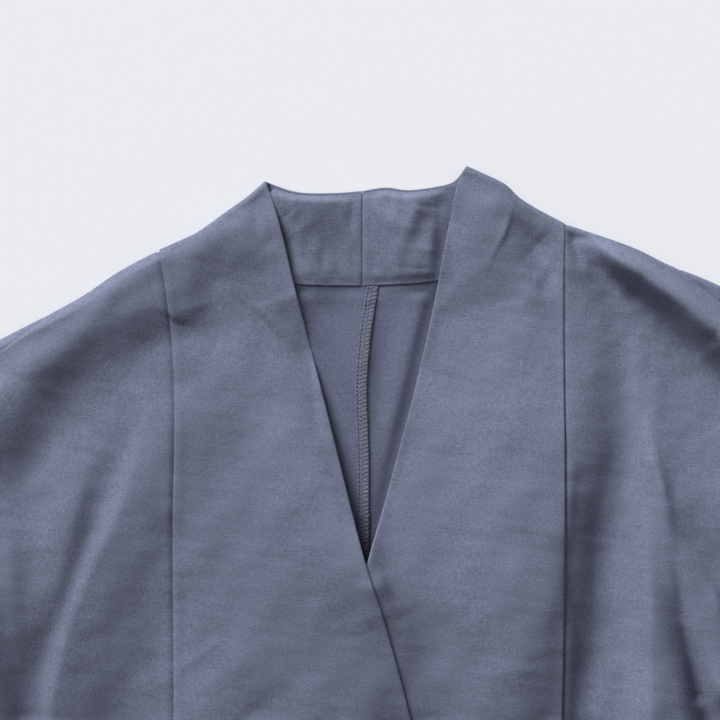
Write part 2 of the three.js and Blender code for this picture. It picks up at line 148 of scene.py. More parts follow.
RIGHT = {
    "name": "right",
    "sign": 1,
    "sleeve_drop": 28,
    "chest_level": -290,
    "collar_fold": through((60.5, 69.7), (72, 64.5), (83, 59), (91, 51.5), (101, 45), (118, 36)),
    "shoulder": through((118, 36), (156, 23), (179, 12), (207.6, 0.3), (272, -31)),
    "front_edge": through(
        (60.5, 69.7), (55.5, 60), (52, 43), (46.6, 15.4), (40.8, -15.4), (31, -58.7), (22.8, -90),
        (12.2, -129), (3.5, -158), (-12, -218), (-26, -262), (-52, -372), (-70, -500),
        (-76, -FRONT_LENGTH),
    ),
    "band_seam": through(
        (118, 36), (117.4, 10), (116.8, -40), (117, -106), (116.6, -186), (116, -300),
        (115.5, -450), (115, -FRONT_LENGTH),
    ),
    "neck_seam": through((SEAM_GAP / 2, 0.8), (44, 3.9), (84, 15.8), (118, 36)),
    "top_edge": through(
        (SEAM_GAP / 2, NECKBAND_HEIGHT), (14, 57.8), (27, 56.3), (44, 58.4), (54, 61.6), (60.5, 69.7),
    ),
}


BOW_SHARE = 0.45  # how far along the underarm seam it bows in most
UNDERARM_BOW = 9


def add_sleeve_and_side(half):
    """Works out the sleeve and the side of one half from the driving sizes."""
    sign = half["sign"]
    drop = math.radians(half["sleeve_drop"])
    along = np.array([sign * math.cos(drop), -math.sin(drop)])
    across = np.array([-sign * math.sin(drop), -math.cos(drop)])
    arm_top = half["shoulder"][-1]
    armpit = np.array([sign * HALF_CHEST, half["chest_level"]])
    cuff_top = arm_top + along * SLEEVE_LENGTH
    cuff_foot = cuff_top + across * CUFF_WIDTH
    under_middle = armpit + (cuff_foot - armpit) * BOW_SHARE - across * UNDERARM_BOW
    back_foot = np.array([sign * HALF_HEM, -BACK_LENGTH])
    front_share = (half["chest_level"] + FRONT_LENGTH) / (half["chest_level"] + BACK_LENGTH)
    half["armhole"] = straight(arm_top, armpit)
    half["overarm"] = straight(arm_top, cuff_top)
    half["underarm"] = through(armpit, under_middle, cuff_foot)
    half["cuff"] = straight(cuff_top, cuff_foot)
    half["front_side"] = straight(armpit, armpit + (back_foot - armpit) * front_share)
    half["back_side"] = straight(armpit, back_foot)


HALVES = [LEFT, RIGHT]
for half in HALVES:
    add_sleeve_and_side(half)

# The large folds, which the solids have too: the line of a crest or trough, the rise along it (a trough's
# is negative), and its widths on the left and on the right of someone walking that way. For the folds in
# the photo, here and in most of the creases, a program fitted the given rows to the photo's shading,
# and its numbers were rounded.
DRAPE = [
    # left front and sleeve
    ([(-121, 2), (-188, -15), (-192, -60), (-256, -93), (-450, -191), (-562, -256)],
     [1.8, 9.4, 6, 13, 9, 5], (47, 24)),
    ([(-106, -32), (-130, -39), (-146, -48), (-173, -76), (-185, -109), (-215, -150)],
     [-4.4, -7.2, -8, -10.2, -7.6, -1], (39, 26)),
    ([(-115, -56), (-127, -94), (-139, -131), (-159, -175), (-176, -234), (-207, -429), (-216, -640)],
     [-1.2, 2.8, 4, 6.4, 6.8, 4.2, 3], (28, 8)),
    ([(-158, -98), (-168, -133), (-178, -177), (-196, -239), (-215, -340), (-234, -430)],
     [1.2, 5.6, 4.4, -2, -4.2, 0], (10, 16)),
    ([(-115, -130), (-131, -167), (-116, -219), (-139, -280)],
     [-0.6, -3.4, -5.6, -3.4], (27, 33)),
    ([(-276, -292), (-258, -237), (-225, -195), (-226, -147)],
     [3, 7.2, 14.4, 11.8], (40, 28)),
    ([(-31, -67), (-15, -145), (13, -189), (25, -254)],
     [5, 11, 10.6, -2.4], (25, 33)),
    ([(-63, 43), (-91, 37), (-147, 6)],
     [-0.2, 22, 30], (10, 54)),
    ([(-296, -292), (-290, -232), (-272, -184), (-250, -146)],
     [-2, -4, -3, 0], (13, 12)),
    ([(-304, -296), (-350, -282), (-420, -276), (-500, -288)],
     [4, 7, 6, 1], (16, 16)),
    ([(-300, -228), (-350, -204), (-420, -212), (-520, -252)],
     [0, 4, 5, 1], (19, 19)),
    ([(-322, -262), (-380, -246), (-450, -252), (-540, -290)],
     [-1, -3, -3, -1], (13, 13)),
    ([(-262, -352), (-248, -440), (-256, -540), (-262, -640)],
     [2, 5, 4, 3], (22, 13)),
    # right front and sleeve
    ([(117, 43), (141, 25), (167, 6), (185, -7), (206, -27), (262, -55), (450, -150), (576, -216)],
     [15.2, 30, 27.8, 19.2, 8.6, 12, 9, 5], (8, 9)),
    ([(116, 26), (150, 4), (168, -16), (186, -35), (227, -71), (244, -126)],
     [2.6, -7.4, -9.4, -7.2, -2.2, 0.8], (8, 41)),
    ([(141, 13), (156, -14), (166, -53), (167, -169), (167, -255), (168, -470), (172, -640)],
     [1.6, 4.2, 2.4, 11.2, 11.6, 7, 4], (24, 8)),
    ([(133, -50), (148, -86), (138, -144), (137, -191), (133, -249), (122, -360), (124, -470)],
     [2, -2.8, -10.6, -7.6, -5.4, -3, 0], (16, 11)),
    ([(218, -126), (222, -186), (224, -251), (246, -340), (250, -480), (256, -640)],
     [7.4, 3, 5.4, 4, 4, 3], (30, 30)),
    ([(51, 45), (87, 46), (106, 29)],
     [-4.8, 10.6, -5.2], (13, 20)),
    ([(103, -4), (115, -68), (110, -119), (106, -152)],
     [-0.2, 7.4, 12, 9.6], (37, 71)),
    ([(278, -262), (262, -206), (240, -160), (222, -132)],
     [3, 6, 5, 1], (14, 14)),
    ([(298, -262), (292, -204), (274, -158), (256, -128)],
     [-2, -4, -3, 0], (12, 13)),
    ([(304, -266), (352, -250), (424, -240), (508, -248)],
     [4, 7, 6, 1], (16, 16)),
    ([(300, -196), (352, -172), (424, -176), (526, -212)],
     [0, 4, 5, 1], (19, 19)),
    ([(324, -232), (382, -212), (452, -212), (546, -250)],
     [-1, -3, -3, -1], (13, 13)),
]

# Creases and soft dents too small for the solids, written the same way.
CREASES = [
    # left front
    ([(-54, 25), (-34, -4), (-31, -37), (-27, -84), (-7, -130), (9, -171)],
     [-0.6, 4.8, -4.4, -3, -0.4, 4.8], (6, 17)),
    ([(-81, -18), (-84, 2), (-52, 6)],
     [-4.6, -5.8, -2.4], (14, 35)),
    ([(-118, -35), (-98, -25), (-99, -13)],
     [-1.8, -2.4, 1], (14, 9)),
    ([(-111, -187), (-91, -212), (-64, -248)],
     [-0.2, 2.2, -4.6], (10, 25)),
    ([(-201, -153), (-196, -216), (-197, -250)],
     [6, 1.4, -5.2], (37, 9)),
    ([(-60, -15), (-54, -54), (-106, -144), (-63, -213)],
     [-2.6, -2.6, -1.6, 2], (23, 15)),
    ([(-183, -113), (-162, -91), (-134, -59)],
     [3.4, 1.2, 0.4], (10, 15)),
    ([(-123, -101), (-113, -156), (-95, -208)],
     [-1.4, -1.8, -2.6], (17, 30)),
    ([(-35, -17), (-31, -77), (-19, -116), (-2, -148)],
     [0.4, -0.2, 3.4, 4.2], (19, 25)),
    ([(-121, 20), (-143, 8), (-167, -8), (-206, -32), (-232, -45)],
     [3.4, 2.4, 4.2, 1.8, -0.4], (8, 11)),
    ([(-46, 20), (-37, -8), (-29, -37), (-21, -66), (-13, -95), (-4, -128)],
     [-0.4, -1.2, -1.4, -3.4, -3.6, -1], (16, 12)),
    # right front
    ([(166, -103), (158, -129), (173, -173), (191, -218), (201, -255), (236, -400)],
     [0.8, 0.2, -1.4, -8, -14.6, -1], (5, 8)),
    ([(121.5, 34), (123, 26), (125.5, 18), (127.5, 11)],
     [-1.6, -3.4, -2.6, -0.4], (3, 3)),
    ([(88, -144), (91, -223), (100, -254)],
     [2.8, 7, 0.2], (16, 33)),
    ([(75, 40), (97, 29), (108, 7), (100, -5)],
     [-1.8, -5.2, -4, 1.6], (7, 10)),
    ([(170, -17), (164, -73), (173, -117), (183, -176), (195, -238)],
     [0.6, -1.2, 4, -2.6, -4.4], (4, 4)),
    ([(176, -144), (203, -179), (210, -230)],
     [0.4, 4.6, 6.8], (4, 19)),
    ([(46, -18), (17, -104), (24, -154), (51, -228)],
     [-7.4, -4.8, -1.8, -1.8], (38, 50)),
    ([(82, 19), (49, -10), (32, -45)],
     [1, 1.8, -1.8], (18, 7)),
    ([(148, -45), (153, -88), (142, -116), (130, -170), (141, -197), (136, -249)],
     [-2.2, -0.8, 2.4, 1.8, 0.6, 3.6], (9, 12)),
    ([(114, -148), (108, -211), (123, -253), (108, -330)],
     [2.4, 4.4, -2, 3], (18, 12)),
    ([(126, -115), (121, -173), (127, -205), (124, -261)],
     [-2.4, -3.4, -2.4, -3.8], (15, 5)),
    ([(161, -5), (187, -20), (198, -41), (219, -61)],
     [-3.2, -1.8, 1.4, -4.4], (10, 6)),
    ([(181, -88), (175, -154), (195, -191), (211, -241)],
     [-0.8, 0.8, 4.6, 1.2], (13, 22)),
    ([(131, 27.5), (134.5, 20), (140, 13), (148, 6), (158, -1)],
     [-3.4, -4.8, -4.8, -3.8, -2], (4.5, 7)),
    ([(138, 26), (149, 18.5), (161, 11), (180, -4), (206, -24)],
     [3.4, 6.6, 7, 3.2, 0], (5, 9)),
]


def nearest(line, places):
    """How far each place is from a line, how far along it counted in points, and on which side it lies
    (1 on the left of someone walking along the line, -1 on the right)."""
    distance = np.full(len(places), np.inf)
    along = np.zeros(len(places))
    side = np.zeros(len(places))
    for k in range(len(line) - 1):
        step = line[k + 1] - line[k]
        length = math.hypot(*step)
        offset = places - line[k]
        t = np.clip(offset @ step / length**2, 0, 1)
        off_x = offset[:, 0] - step[0] * t
        off_y = offset[:, 1] - step[1] * t
        found = np.hypot(off_x, off_y)
        turn = (step[0] * off_y - step[1] * off_x) / (length * np.maximum(found, 1e-9))
        closer = found < distance - 1e-9
        squarer = (found < distance + 1e-9) & (np.abs(turn) > np.abs(side))
        taken = closer | squarer
        distance[taken] = found[taken]
        along[taken] = k + t[taken]
        side[taken] = turn[taken]
    return distance, along, side


def distance_to(line, places):
    return nearest(line, places)[0]


FOLD_STEPS = 24


def fold_rise(table, places):
    """The rise of all the folds of a table, together."""
    total = np.zeros(len(places))
    for line, rise, widths in table:
        distance, along, side = nearest(catmull_rom(line, FOLD_STEPS), places)
        width = widths[1] + (widths[0] - widths[1]) * (side + 1) / 2
        height = np.interp(along / FOLD_STEPS * (len(rise) - 1), np.arange(len(rise)), rise)
        total += height * np.exp(-((distance / width) ** 2))
    return total


def ease(t):
    t = np.clip(t, 0, 1)
    return t * t * (3 - 2 * t)


# The outline where front and back meet. Each line is walked with the cloth on its left, and runs on past
# the open ends.
PAST_THE_END = 12


def extended(line):
    step = line[-1] - line[-2]
    return np.vstack([line, line[-1] + step / np.linalg.norm(step) * PAST_THE_END])


def outline_of(half):
    top = extended(np.vstack([half["collar_fold"], half["shoulder"][1:], half["overarm"][1:]]))
    foot = np.vstack([extended(half["underarm"])[::-1], extended(half["back_side"])[1:]])
    return [top, foot] if half["sign"] < 0 else [top[::-1], foot[::-1]]


OUTLINE = outline_of(LEFT) + outline_of(RIGHT)


def inset(places):
    """How far inside the outline each place is."""
    best = np.full(len(places), np.inf)
    signed = np.zeros(len(places))
    for line in OUTLINE:
        distance, _, side = nearest(line, places)
        closer = distance < best
        best[closer] = distance[closer]
        signed[closer] = distance[closer] * np.sign(side[closer])
    return signed


def turned(from_edge, radius):
    """How much of its height or thickness a rounded edge has this far in: 0 on it, 1 past the radius."""
    cosine = 1 - np.clip(from_edge / radius, 0, 1)
    return np.sqrt(1 - cosine**2)


# The middle lies lower from the bands' crossing down, and the cloth settles towards the hem and the cuffs
CROSSING_Y = -158
CROSSING_WIDTH = 58
CROSSING_FADE = 110
HEM_FADE = 150
CUFF_FADE = 90


def front_loft(places):
    """The loft of the front cloth over the floor, before it rounds down to the outline."""
    x, y = places.T
    centre = np.exp(-((x / CROSSING_WIDTH) ** 2)) * ease((CROSSING_Y - y) / CROSSING_FADE + 1)
    ends = ease(1 - (y + FRONT_LENGTH) / HEM_FADE) * (1 - centre)
    for half in HALVES:
        ends = np.maximum(ends, ease(1 - distance_to(half["cuff"], places) / CUFF_FADE))
    loft = FRONT_LOFT + (CENTRE_LOFT - FRONT_LOFT) * centre
    return loft + (HEM_LOFT - loft) * ends + fold_rise(DRAPE, places)


RIPPLE_WAVES = 12


def ripples(places, seed, lengths):
    """An uneven ripple of about one in height, its waves about as long as given in x and in y."""
    chance = np.random.default_rng(seed)
    total = np.zeros(len(places))
    for _ in range(RIPPLE_WAVES):
        waves = chance.normal(size=2) / np.asarray(lengths)
        total += np.cos(2 * np.pi * places @ waves + chance.uniform(0, 2 * np.pi))
    return total / math.sqrt(RIPPLE_WAVES)


# The low unevenness of pressed cloth that has been handled: seed, height, and wave lengths in x and y
SOFT_RELIEF = [(11, 0.55, (60, 70)), (12, 0.10, (26, 12))]


def soft_relief(places):
    return sum(height * ripples(places, seed, lengths) for seed, height, lengths in SOFT_RELIEF)


def front_heights(grid, lift=0.0):
    """Heights of the front cloth's middle surface on a grid of places."""
    places = grid.reshape(-1, 2)
    from_edge = inset(places)
    rounded = EDGE_HEIGHT + FRONT_ROUND * turned(from_edge, FRONT_ROLL)
    rise = (front_loft(places) + lift - EDGE_HEIGHT - FRONT_ROUND) * ease(from_edge / FRONT_SWELL)
    fine = (soft_relief(places) + fold_rise(CREASES, places)) * ease(from_edge / CREASE_SWELL)
    return rounded + rise + fine


def back_heights(grid, thickness, edge_height=EDGE_HEIGHT - SEAM_GAP):
    """Heights of cloth that lies on the floor and turns up at the outline."""
    return edge_height - (edge_height - thickness / 2) * turned(inset(grid.reshape(-1, 2)), BACK_ROLL)


def raised(grid, heights):
    return np.dstack([grid, np.reshape(heights, grid.shape[:2])])


def patch(top, foot, start, end, rows, columns):
    """A grid between four lines, given as functions of a share, at the shares for rows and columns."""
    rows = np.asarray(rows)
    columns = np.asarray(columns)
    r = rows[:, None, None]
    c = columns[None, :, None]
    across_rows = top(columns)[None] * (1 - r) + foot(columns)[None] * r
    along_row = start(rows)[:, None] * (1 - c) + end(rows)[:, None] * c
    ends = np.array([0, 1])
    top_corners = top(ends)[0] * (1 - c) + top(ends)[1] * c
    foot_corners = foot(ends)[0] * (1 - c) + foot(ends)[1] * c
    return across_rows + along_row - top_corners * (1 - r) - foot_corners * r


def path(line):
    return lambda share: on(line, share)


def between(start, end):
    return path(straight(start, end))


def joined(first, second, turn):
    """One line after another, with the share of the whole at which the second begins."""

    def places(share):
        share = np.asarray(share)[:, None]
        on_first = on(first, share[:, 0] / turn)
        on_second = on(second, (share[:, 0] - turn) / (1 - turn))
        return np.where(share <= turn, on_first, on_second)

    return places


# Distances from a rounded edge at which a grid has a line
EDGE_MARKS = [0, 0.08, 0.22, 0.45, 0.75, 1.15, 1.7, 2.4]
OUTLINE_MARKS = [0, 0.05, 0.2, 0.45, 0.8, 1.2, 1.6]


def stations(length, stretches, start=EDGE_MARKS, end=EDGE_MARKS):
    """Shares of a length: its end marks, and between them stretches of (up to here, this far apart)."""
    marks = list(start)
    last = length - end[-1]
    for until, step in [*stretches[:-1], (last, stretches[-1][1])]:
        steps = max(1, round((until - marks[-1]) / step))
        marks += list(np.linspace(marks[-1], until, steps + 1)[1:])
    marks += [length - mark for mark in reversed(end[:-1])]
    return np.array(marks) / length


def normals(grid):
    found = np.cross(np.gradient(grid, axis=0), np.gradient(grid, axis=1))
    return found / np.maximum(np.linalg.norm(found, axis=2, keepdims=True), 1e-12)


def moved_up(grid, distance):
    """A grid moved along its normals, towards the side that faces up."""
    out = normals(grid)
    out = out * np.sign(out[..., 2].mean())
    return grid + out * np.reshape(distance, (*grid.shape[:2], 1))


def wall_faces(height, width):
    """The quads of a closed wall around a grid: outer side, inner side and rim."""
    corner = np.arange(height * width).reshape(height, width)
    a, b, c, d = corner[:-1, :-1], corner[:-1, 1:], corner[1:, 1:], corner[1:, :-1]
    outer = np.stack([a, b, c, d], axis=-1).reshape(-1, 4)
    inner = outer[:, ::-1] + height * width
    rim = np.concatenate([corner[0, :-1], corner[:-1, -1], corner[-1, :0:-1], corner[:0:-1, 0]])
    after = np.roll(rim, -1)
    around = np.column_stack([after, rim, rim + height * width, after + height * width])
    return np.vstack([outer, inner, around])


def signed_volume(vertices, faces):
    a, b, c, d = (vertices[faces[:, k]] for k in range(4))
    halves = np.einsum("ij,ij->i", a, np.cross(b, c)) + np.einsum("ij,ij->i", a, np.cross(c, d))
    return halves.sum() / 6


def add_mesh(name, vertices, faces, material):
    mesh = bpy.data.meshes.new(name)
    mesh.from_pydata(((vertices + ORIGIN) * MM).tolist(), [], faces)
    mesh.shade_smooth()
    mesh.materials.append(material)
    made = bpy.data.objects.new(name, mesh)
    bpy.context.scene.collection.objects.link(made)
    return made


def shell(name, grid, thickness, material):
    """A closed thin shell of cloth around a grid of its middle surface."""
    half = normals(grid) * np.reshape(thickness, (*grid.shape[:2], 1)) / 2
    vertices = np.concatenate([(grid + half).reshape(-1, 3), (grid - half).reshape(-1, 3)])
    faces = wall_faces(*grid.shape[:2])
    if signed_volume(vertices, faces) < 0:
        faces = faces[:, ::-1]
    return add_mesh(name, vertices, faces.tolist(), material)


THINNEST = 0.1  # of the full thickness, on a rounded rim


def thickness_of(grid, full, *edges, radius):
    """The thickness at each place, rounded off near the edge lines given."""
    places = grid[..., :2].reshape(-1, 2)
    share = np.ones(len(places))
    for line in edges:
        share = np.minimum(share, turned(distance_to(line, places), radius))
    return full * np.maximum(share, THINNEST)


def put(tree, kind, inputs, **settings):
    """Adds a node with its settings, and links or sets its inputs."""
    made = tree.nodes.new(kind)
    for name, value in settings.items():
        setattr(made, name, value)
    for name, value in inputs.items():
        if isinstance(value, bpy.types.NodeSocket):
            tree.links.new(value, made.inputs[name])
        else:
            made.inputs[name].default_value = value
    return made


def new_material(name):
    material = bpy.data.materials.new(name)
    material.use_nodes = True
    material.node_tree.nodes.clear()
    return material, material.node_tree


def noise(tree, scale, turn, detail=2.0):
    """Noise in the cloth's own place, with this many grains to the metre in x, y and z."""
    place = put(tree, "ShaderNodeTexCoord", {}).outputs["Object"]
    turned_place = put(tree, "ShaderNodeMapping", {"Vector": place, "Rotation": (0, 0, turn)})
    mapped = put(tree, "ShaderNodeMapping", {"Vector": turned_place.outputs[0], "Scale": scale})
    grains = put(
        tree, "ShaderNodeTexNoise",
        {"Vector": mapped.outputs[0], "Scale": 1.0, "Detail": detail, "Roughness": 0.5},
    )
    return grains.outputs["Fac"]


def ramp(tree, value, low, high, to_low=0.0, to_high=1.0):
    made = put(
        tree, "ShaderNodeMapRange",
        {"Value": value, "From Min": low, "From Max": high, "To Min": to_low, "To Max": to_high},
    )
    return made.outputs["Result"]


def math_node(tree, operation, a, b):
    return put(tree, "ShaderNodeMath", {0: a, 1: b}, operation=operation).outputs[0]


def weighted(tree, parts):
    """The sum of values, each times its weight."""
    total = 0.0
    for value, weight in parts:
        total = math_node(tree, "ADD", math_node(tree, "MULTIPLY", value, weight), total)
    return total


BUMP_HEIGHT = 0.00014  # metres, for a bump of 1


def cloth_material(name, colour, turn=0.0):
    """Fine plain cloth: warp and weft, a grain of uneven yarn, a few slubs, and a soft press."""
    material, tree = new_material(name)
    warp = noise(tree, (1050, 300, 90), turn)
    weft = noise(tree, (300, 1050, 90), turn)
    grain = noise(tree, (1150, 1150, 90), turn, 1.0)
    slubs = ramp(tree, noise(tree, (90, 640, 60), turn, 1.0), 0.62, 0.80)
    press = noise(tree, (70, 150, 30), turn)
    mottle = noise(tree, (40, 46, 12), turn)
    height = weighted(tree, [(warp, 0.45), (weft, 0.45), (grain, 0.5), (slubs, 0.2), (press, 0.5)])
    bump = put(tree, "ShaderNodeBump", {"Height": height, "Strength": 1.0, "Distance": BUMP_HEIGHT})
    shade = weighted(tree, [(mottle, 0.12), (weft, 0.2), (warp, 0.2), (slubs, 0.04), (grain, 0.48)])
    brightness = ramp(tree, shade, 0.32, 0.68, 0.68, 1.32)
    tinted = put(
        tree, "ShaderNodeVectorMath", {0: colour, "Scale": brightness}, operation="SCALE"
    ).outputs[0]
    surface = put(
        tree, "ShaderNodeBsdfPrincipled",
        {
            "Base Color": tinted, "Roughness": 0.82, "Normal": bump.outputs[0], "Specular IOR Level": 0.22,
            "Sheen Weight": 0.12, "Sheen Roughness": 0.45, "Sheen Tint": (0.75, 0.8, 1.0, 1.0),
        },
    )
    put(tree, "ShaderNodeOutputMaterial", {"Surface": surface.outputs[0]})
    return material


def plain_material(name, colour, roughness):
    material, tree = new_material(name)
    surface = put(
        tree, "ShaderNodeBsdfPrincipled",
        {"Base Color": (*colour, 1), "Roughness": roughness, "Specular IOR Level": 0.1},
    )
    put(tree, "ShaderNodeOutputMaterial", {"Surface": surface.outputs[0]})
    return material


SLATE = (0.131, 0.1463, 0.215)
# The cloth's wrong side, as on the backs and the allowance, made darker still as painted shade for the neck
# opening, where the light is cut off
SLATE_INSIDE_AND_SHADE = (0.113, 0.1265, 0.194)
THREAD_GREY = (0.182, 0.178, 0.194)
FLOOR_PALE = (0.83, 0.838, 0.875)


def piece(made, node):
    """Hangs a finished piece of cloth under the root body, and hides the solid it stands for."""
    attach(made, "root")
    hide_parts(node)


FRONT_DROP = 660  # from the shoulder to the hem, along which the fronts' grids have their rows
ARMHOLE_SHARE = ARMHOLE / FRONT_DROP
FRONT_ROWS = stations(FRONT_DROP, [(11, 0.5), (300, 1.8), (FRONT_DROP, 4.5)], OUTLINE_MARKS)


def edge_at(half, y):
    """Where a front edge is, this far down."""
    edge = half["front_edge"][::-1]
    return np.interp(y, edge[:, 1], edge[:, 0])


LAP_LIFT = 0.9
LAP_FADE = 34  # how far beside the lap its step fades out


def lap_lift(places):
    """Half the step between the lapped bands, fading out beside the lap."""
    x, y = places.T
    past_right = ease((x - edge_at(RIGHT, y)) / LAP_FADE + 1)
    past_left = ease((edge_at(LEFT, y) - x) / LAP_FADE + 1)
    return LAP_LIFT * past_right * past_left


def neckband_grid(half, rows, columns):
    return patch(
        between(half["top_edge"][0], half["neck_seam"][0]),
        path(half["collar_fold"]),
        path(half["top_edge"]),
        path(half["neck_seam"]),
        rows,
        columns,
    )


NECK_SEAM_FADE = 9


def neckband_thickness(half, grid):
    """The outer layer of the neckband, thinner towards the neck seam."""
    away = distance_to(half["neck_seam"], grid.reshape(-1, 2))
    return BAND_AT_NECK_SEAM + (BAND - BAND_AT_NECK_SEAM) * ease(away / NECK_SEAM_FADE)


# What shows through a band of the turnings in it: a ridge along its seam and a lip along its front edge
SEAM_RIDGE = 0.35
RIDGE_INSET = {"left": 3, "right": 0.8}
RIDGE_WIDTH = 2.4
EDGE_LIP = 0.45
LIP_INSET = 1
LIP_WIDTH = 3.2


def bump_along(distance, height, middle, width):
    """The height of a rounded ridge, for places this far from a line, with its crest this far from it."""
    return height * np.exp(-(((distance - middle) / width) ** 2))


def band_lift(half, places):
    """How far a front band lies over the fronts' form: by the lap, over its turnings and at its edge."""
    ridge_inset = RIDGE_INSET[half["name"]]
    ridge = bump_along(distance_to(half["band_seam"], places), SEAM_RIDGE, ridge_inset, RIDGE_WIDTH)
    lip = bump_along(distance_to(half["front_edge"], places), EDGE_LIP, LIP_INSET, LIP_WIDTH)
    return -half["sign"] * lap_lift(places) + ridge + lip


BAND_WIDTH = 125  # at its widest, for spacing the grid's columns
BAND_COLUMNS = stations(BAND_WIDTH, [(BAND_WIDTH, 1.9)])
NECK_LENGTH = 100  # from the centre back to the neckband's fold, for spacing the rows


def front_band(half, material):
    """A front band in one piece with its half of the neckband: round the neck, and down to the hem."""
    neck_stretches = [(NECK_LENGTH - 8, 2.2), (NECK_LENGTH, 0.8)]
    neck_rows = stations(NECK_LENGTH, neck_stretches, EDGE_MARKS, [0.8])[:-1]
    neck = neckband_grid(half, neck_rows, BAND_COLUMNS)
    front = patch(
        path(half["collar_fold"]),
        between(half["front_edge"][-1], half["band_seam"][-1]),
        path(half["front_edge"]),
        path(half["band_seam"]),
        FRONT_ROWS,
        BAND_COLUMNS,
    )
    neck_thickness = neckband_thickness(half, neck)
    grid = np.vstack([
        raised(neck, back_heights(neck, neck_thickness, EDGE_HEIGHT)),
        raised(front, front_heights(front, band_lift(half, front.reshape(-1, 2)))),
    ])
    full = np.concatenate([neck_thickness, np.full(front.shape[0] * front.shape[1], BAND)])
    edges = [half["front_edge"], half["top_edge"], half["band_seam"]]
    foot = straight(half["front_edge"][-1], half["band_seam"][-1])
    thickness = thickness_of(grid, full, *edges, foot, radius=BAND_ROUND)
    name = half["name"]
    made = shell(f"band_{name}", grid, thickness, material)
    piece(
        made, f"front_band_{name}",
    )


FACING_REACH = 0.88  # how far the facing goes from the centre back to the neckband's fold, as a share
FACING_LENGTH = NECK_LENGTH * FACING_REACH
FACING_ROWS = stations(FACING_LENGTH, [(FACING_LENGTH, 1.2)]) * FACING_REACH
FACING_TOP = 1.5  # how far the facing's edge stands in from the neckband's
FACING_OVERHANG = 0.5  # how far it goes down over the neck seam
OVERHANG_HEIGHT = 4
LAYER_GAP = 0.1  # between the facing or the allowance and what it lies on
FACING_UNEVEN = 0.25
RELIEF_FROM_TOP = 4  # how far from the facing's top, and from its seam, its ridges come up in full
RELIEF_FROM_SEAM = 6
CENTRE_DITCH = 0.45
CENTRE_DITCH_WIDTH = 1.6

# The facing's ridges behind the neck, from the viewer's left to right
FACING_RELIEF = [
    ([(-50, 53), (-38, 51), (-24, 49), (-6, 48)], [4.4, 6, 4.2, 0.6], (5, 15)),
    ([(-45, 40), (-38, 32), (-33, 20), (-31, 6)], [1.6, 4.2, 3.4, 1], (16, 7)),
    ([(35, 54), (30.5, 46), (25, 35), (20, 22), (18, 8)], [3, 6.6, 5.4, 2.6, 0.6], (8, 22)),
    ([(41, 46), (39.8, 33), (38.8, 21), (38, 10)], [0.8, 5, 6, 2.4], (5.2, 20)),
]
# The swell along the neck seam, in the facing and in the backs
SEAM_RELIEF = [
    ([(-44, 4), (-27, 1), (-10, 0), (10, 0), (27, 3), (44, 6)], [3.6, 3.8, 1.2, 0.8, 3, 3.4], (15, 10)),
]


def neck_facing(half, material):
    """The neckband's inside layer, from the centre back to near its fold."""
    columns = stations(NECKBAND_HEIGHT, [(NECKBAND_HEIGHT, 1.1)])
    inner = FACING_TOP / NECKBAND_HEIGHT + columns * (1 - FACING_TOP / NECKBAND_HEIGHT)
    grid = neckband_grid(half, FACING_ROWS, inner)
    slide = ease((inner - 1) * NECKBAND_HEIGHT / OVERHANG_HEIGHT + 1) * FACING_OVERHANG
    grid = grid - np.stack([slide * 0, slide], axis=-1)[None]
    places = grid.reshape(-1, 2)
    under = neckband_thickness(half, grid)
    from_top = distance_to(half["top_edge"], places) - FACING_TOP
    from_seam = distance_to(half["neck_seam"], places)
    edge_fade = ease(from_top / RELIEF_FROM_TOP) * ease(from_seam / RELIEF_FROM_SEAM)
    relief = fold_rise(FACING_RELIEF, places) + FACING_UNEVEN * ripples(places, 21, (16, 30))
    ditch = bump_along(places[:, 0], CENTRE_DITCH, 0, CENTRE_DITCH_WIDTH)
    lie = back_heights(grid, under, EDGE_HEIGHT) + under / 2 + LAYER_GAP + FACING / 2
    lift = np.maximum(relief, 0) * edge_fade + fold_rise(SEAM_RELIEF, places) - ditch
    grid = raised(grid, lie + np.maximum(lift, -LAYER_GAP))
    name = half["name"]
    edges = [grid[:, 0, :2], grid[:, -1, :2], grid[0, :, :2]]
    thickness = thickness_of(grid, FACING, *edges, radius=FACING_ROUND)
    made = shell(f"neck_facing_{name}_panel", grid, thickness, material)
    piece(
        made, f"neck_facing_{name}",
    )


TUCK = 1.2  # how deep the side front's edge is pressed in under the band
TUCK_FLAT = 0.6  # how far in from that edge it is as deep as this
TUCK_WIDTH = 3.6  # and how much farther in it fades out
TUCKED_UNDER = 1.0  # how far the edge goes in under the band

# The right side front is hardly pressed in at the shoulder, and more and more from there down
RIGHT_TUCK_LEAST = 0.15
RIGHT_TUCK_TOP = 35
RIGHT_TUCK_DROP = 200

# The shoulder seam shows inside the outline towards the arm: how far in, by how far out it is
SHOULDER_SEAM = {"left": ([183, 207, 272], [0, 5.6, 7]), "right": ([183, 207, 272], [0, 8.4, 9])}
SEAM_GROOVE = 0.6
SEAM_GROOVE_WIDTH = 0.7
SEAM_GROOVE_START = 181
SEAM_GROOVE_FADE = 4


def shoulder_groove(half, places):
    """The dip of the shoulder seam in the side front."""
    out_from_neck, far_in = SHOULDER_SEAM[half["name"]]
    reach = np.abs(places[:, 0])
    seam = np.interp(reach, out_from_neck, far_in)
    groove = bump_along(distance_to(half["shoulder"], places), SEAM_GROOVE, seam, SEAM_GROOVE_WIDTH)
    return groove * ease((reach - SEAM_GROOVE_START) / SEAM_GROOVE_FADE)


def tuck_dip(half, places, inner):
    """How deep the side front is pressed in beside its inner edge."""
    tuck = TUCK
    if half is RIGHT:
        tuck = TUCK * (RIGHT_TUCK_LEAST + ease((RIGHT_TUCK_TOP - places[:, 1]) / RIGHT_TUCK_DROP))
    return tuck * (1 - ease((distance_to(inner, places) - TUCK_FLAT) / TUCK_WIDTH))


